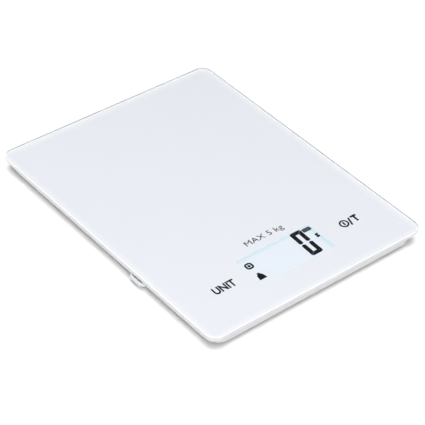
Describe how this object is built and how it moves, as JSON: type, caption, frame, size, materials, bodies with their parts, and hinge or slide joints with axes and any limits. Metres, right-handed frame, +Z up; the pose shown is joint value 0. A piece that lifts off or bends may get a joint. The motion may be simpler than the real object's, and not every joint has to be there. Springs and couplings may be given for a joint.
{
  "type": "kitchen scale",
  "caption": "Slim electronic kitchen scale: glass platform over a shallow white housing, with load-cell feet, lit display, touch keys, hinged battery door and pull-out hanging loop.",
  "frame": {"origin": "centre of the footprint, on the surface that the feet stand on", "axes": "+X to the right of a person facing the display, +Y away from that person to the back edge, +Z up out of the glass"},
  "size_m": [0.165, 0.21, 0.013],
  "materials": {
    "platform_glass": "polished toughened glass",
    "white_enamel": "white back print seen through the glass",
    "foam_tape": "matt foam",
    "housing_plastic": "satin moulded white",
    "frame_plastic": "matt moulded white",
    "foot_plastic": "matt moulded light grey",
    "foot_rubber": "soft matt grey",
    "screw_steel": "zinc plated",
    "load_cell_steel": "spring steel",
    "board_laminate": "green solder mask",
    "black_resin": "cured resin",
    "component_ceramic": "ceramic",
    "lcd_glass": "liquid crystal cell",
    "black_foam": "closed-cell foam",
    "striped_rubber": "striped conductive rubber",
    "spring_metal": "plated wire",
    "contact_metal": "plated strip",
    "cell_steel": "bright steel can",
    "silicone": "silicone coat",
    "wire_insulation": "wire insulation",
    "display_film": "lit polarising film",
    "clear_acrylic": "clear acrylic",
    "led_resin": "lit resin"
  },
  "bodies": {
    "housing": {"glass_platform": "platform_glass", "white_back_print": "white_enamel", "mounting_tape": "foam_tape", "upper_tray": "housing_plastic", "bottom_cover": "housing_plastic", "case_screws": "screw_steel", "circuit_board": "board_laminate", "controller_chip": "black_resin", "board_components": "component_ceramic", "board_screws": "screw_steel", "lcd_panel": "lcd_glass", "display_film": "display_film", "display_gasket": "black_foam", "display_holder": "frame_plastic", "contact_strip": "striped_rubber", "backlight_guide": "clear_acrylic", "backlight_leds": "led_resin", "unit_key_spring": "spring_metal", "power_key_spring": "spring_metal", "coin_cell": "cell_steel", "battery_contact_positive": "contact_metal", "battery_contact_negative": "contact_metal", "battery_leads": "wire_insulation", "load_cell_front_left": "load_cell_steel", "load_cell_front_right": "load_cell_steel", "load_cell_rear_left": "load_cell_steel", "load_cell_rear_right": "load_cell_steel", "strain_gauge_front_left": "silicone", "strain_gauge_front_right": "silicone", "strain_gauge_rear_left": "silicone", "strain_gauge_rear_right": "silicone", "cell_retainer_front_left": "frame_plastic", "cell_retainer_front_right": "frame_plastic", "cell_retainer_rear_left": "frame_plastic", "cell_retainer_rear_right": "frame_plastic", "sensor_lead_front_left": "wire_insulation", "sensor_lead_front_right": "wire_insulation", "sensor_lead_rear_left": "wire_insulation", "sensor_lead_rear_right": "wire_insulation"},
    "battery_door": {"battery_door": "housing_plastic"},
    "hanging_loop": {"hanging_loop": "housing_plastic"},
    "foot_front_left": {"foot_cap_front_left": "foot_plastic", "foot_pad_front_left": "foot_rubber"},
    "foot_front_right": {"foot_cap_front_right": "foot_plastic", "foot_pad_front_right": "foot_rubber"},
    "foot_rear_left": {"foot_cap_rear_left": "foot_plastic", "foot_pad_rear_left": "foot_rubber"},
    "foot_rear_right": {"foot_cap_rear_right": "foot_plastic", "foot_pad_rear_right": "foot_rubber"}
  },
  "joints": [
    {"name": "foot_front_left_press", "type": "slide", "parent": "housing", "child": "foot_front_left", "axis": [0, 0, 1], "range_m": [0, 0.0005], "stiffness_N_per_m": 40000, "springref_m": -0.00005, "deforming": ["load_cell_front_left"]},
    {"name": "foot_front_right_press", "type": "slide", "parent": "housing", "child": "foot_front_right", "axis": [0, 0, 1], "range_m": [0, 0.0005], "stiffness_N_per_m": 40000, "springref_m": -0.00005, "deforming": ["load_cell_front_right"]},
    {"name": "foot_rear_left_press", "type": "slide", "parent": "housing", "child": "foot_rear_left", "axis": [0, 0, 1], "range_m": [0, 0.0005], "stiffness_N_per_m": 40000, "springref_m": -0.00005, "deforming": ["load_cell_rear_left"]},
    {"name": "foot_rear_right_press", "type": "slide", "parent": "housing", "child": "foot_rear_right", "axis": [0, 0, 1], "range_m": [0, 0.0005], "stiffness_N_per_m": 40000, "springref_m": -0.00005, "deforming": ["load_cell_rear_right"]},
    {"name": "battery_door_hinge", "type": "hinge", "parent": "housing", "child": "battery_door", "pos_m": [0, -0.01795, 0.0032], "axis": [1, 0, 0], "range_deg": [0, 90]},
    {"name": "hanging_loop_slide", "type": "slide", "parent": "housing", "child": "hanging_loop", "axis": [-1, 0, 0], "range_m": [0, 0.012]}
  ]
}
